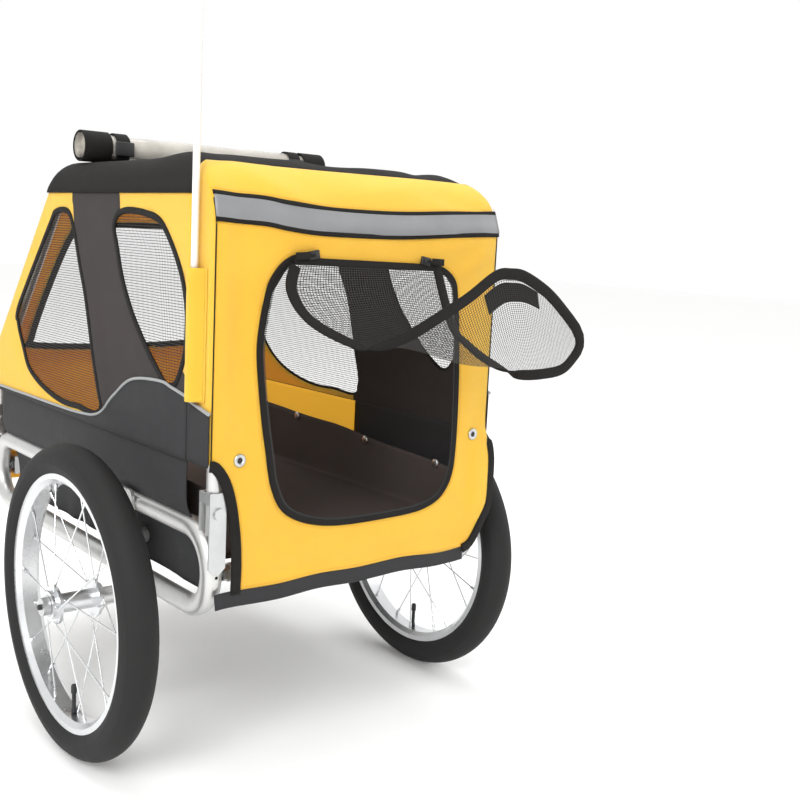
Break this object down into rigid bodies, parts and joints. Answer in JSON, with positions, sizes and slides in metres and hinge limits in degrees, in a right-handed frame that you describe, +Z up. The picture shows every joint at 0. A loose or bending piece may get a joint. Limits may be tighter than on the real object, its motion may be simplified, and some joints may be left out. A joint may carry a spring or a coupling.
{
  "type": "dog bike trailer",
  "caption": "Two-wheeled dog trailer for a bicycle: folding tube frame, fabric cabin with net rear door and sloping front, spoked wheels, side drawbar with axle hitch, safety flag.",
  "frame": {"origin": "on the ground under the centre of the whole trailer, drawbar included", "axes": "+Y forwards along the direction of travel, +X to the trailer's right, +Z upwards"},
  "size_m": [0.6526, 1.454, 1.217],
  "materials": {
    "tyre_rubber": "black moulded rubber with a block tread",
    "rim_alloy": "satin alloy",
    "spoke_steel": "bright wire",
    "hub_alloy": "turned alloy",
    "zinc_steel": "zinc-plated steel",
    "silver_tube": "silver powder coat",
    "black_plastic": "moulded black plastic",
    "yellow_fabric": "coated woven polyester, yellow",
    "black_fabric": "coated woven polyester, black",
    "grey_fabric": "coated woven polyester, dark grey",
    "net_fabric": "fine black net, partly seen through",
    "reflective_tape": "grey reflective tape",
    "zip_tape": "black coil zip on tape",
    "floor_plastic": "textured plastic board",
    "clear_vinyl": "clear vinyl sheet, rolled up",
    "white_plastic": "white rod",
    "orange_fabric": "bright orange flag cloth",
    "black_rubber": "moulded black rubber"
  },
  "bodies": {
    "chassis": {"axle_bracket_left": "silver_tube", "axle_bracket_right": "silver_tube", "axle_left": "zinc_steel", "axle_right": "zinc_steel", "axle_tube": "silver_tube", "bar_bolt": "zinc_steel", "bar_bracket": "zinc_steel", "bracket_screws": "zinc_steel", "cover_roll": "clear_vinyl", "cross_studs": "zinc_steel", "door_zip": "zip_tape", "flag_pocket": "yellow_fabric", "floor_board": "floor_plastic", "floor_liner": "black_fabric", "front_cross_tube": "silver_tube", "front_panel": "black_fabric", "hinge_brackets_left": "zinc_steel", "hinge_brackets_right": "zinc_steel", "hinge_rivets": "zinc_steel", "rear_cross_tube": "silver_tube", "rear_panel": "yellow_fabric", "reflective_stripe": "reflective_tape", "roll_straps": "black_fabric", "roof_canopy": "black_fabric", "side_loop_left": "silver_tube", "side_loop_right": "silver_tube", "side_skirt_left": "grey_fabric", "side_skirt_right": "grey_fabric", "snap_studs": "zinc_steel", "zip_sliders": "black_plastic"},
    "door": {"door_flap": "net_fabric"},
    "flag": {"flag_pole": "white_plastic", "flag_cap": "black_plastic", "flag_pennant": "orange_fabric"},
    "drawbar": {"drawbar": "silver_tube", "hitch_block": "black_rubber", "hitch_yoke": "zinc_steel", "hitch_pin": "zinc_steel"},
    "knob": {"bar_knob": "black_plastic"},
    "hitch": {"hitch_plate": "zinc_steel"},
    "wheel_left": {"tyre_left": "tyre_rubber", "rim_left": "rim_alloy", "spokes_left": "spoke_steel", "hub_left": "hub_alloy", "bearings_left": "zinc_steel"},
    "button_left": {"axle_button_left": "black_plastic"},
    "hoop_left": {"side_hoop_left": "silver_tube", "side_panel_left": "yellow_fabric", "side_mesh_left": "net_fabric"},
    "wheel_right": {"tyre_right": "tyre_rubber", "rim_right": "rim_alloy", "spokes_right": "spoke_steel", "hub_right": "hub_alloy", "bearings_right": "zinc_steel"},
    "button_right": {"axle_button_right": "black_plastic"},
    "hoop_right": {"side_hoop_right": "silver_tube", "side_panel_right": "yellow_fabric", "side_mesh_right": "net_fabric"}
  },
  "joints": [
    {"name": "wheel_left_spin", "type": "hinge", "parent": "chassis", "child": "wheel_left", "pos_m": [-0.28, -0.398, 0.195], "axis": [1, 0, 0], "continuous": true},
    {"name": "wheel_right_spin", "type": "hinge", "parent": "chassis", "child": "wheel_right", "pos_m": [0.28, -0.398, 0.195], "axis": [1, 0, 0], "continuous": true},
    {"name": "button_left_press", "type": "slide", "parent": "chassis", "child": "button_left", "axis": [1, 0, 0], "range_m": [0, 0.003], "stiffness_N_per_m": 600, "springref_m": -0.002},
    {"name": "button_right_press", "type": "slide", "parent": "chassis", "child": "button_right", "axis": [-1, 0, 0], "range_m": [0, 0.003], "stiffness_N_per_m": 600, "springref_m": -0.002},
    {"name": "left_fold", "type": "hinge", "parent": "chassis", "child": "hoop_left", "pos_m": [-0.2, -0.591, 0.342], "axis": [0, 1, 0], "range_deg": [0, 90]},
    {"name": "right_fold", "type": "hinge", "parent": "chassis", "child": "hoop_right", "pos_m": [0.2, -0.591, 0.368], "axis": [0, -1, 0], "range_deg": [0, 90]},
    {"name": "door_lift", "type": "hinge", "parent": "chassis", "child": "door", "pos_m": [0, -0.6078, 0.6297], "axis": [1, 0, 0], "range_deg": [-25, 15]},
    {"name": "flag_pull", "type": "slide", "parent": "chassis", "child": "flag", "axis": [0, 0, 1], "range_m": [0, 0.19]},
    {"name": "drawbar_swing", "type": "hinge", "parent": "chassis", "child": "drawbar", "pos_m": [-0.165, 0.121, 0.2675], "axis": [0, 0, 1], "range_deg": [-90, 0]},
    {"name": "knob_turn", "type": "hinge", "parent": "chassis", "child": "knob", "pos_m": [-0.165, 0.121, 0.285], "axis": [0, 0, 1], "range_deg": [-180, 180]},
    {"name": "hitch_yaw", "type": "hinge", "parent": "drawbar", "child": "hitch", "pos_m": [-0.165, 0.633, 0.03], "axis": [0, 0, 1], "range_deg": [-60, 60]}
  ]
}
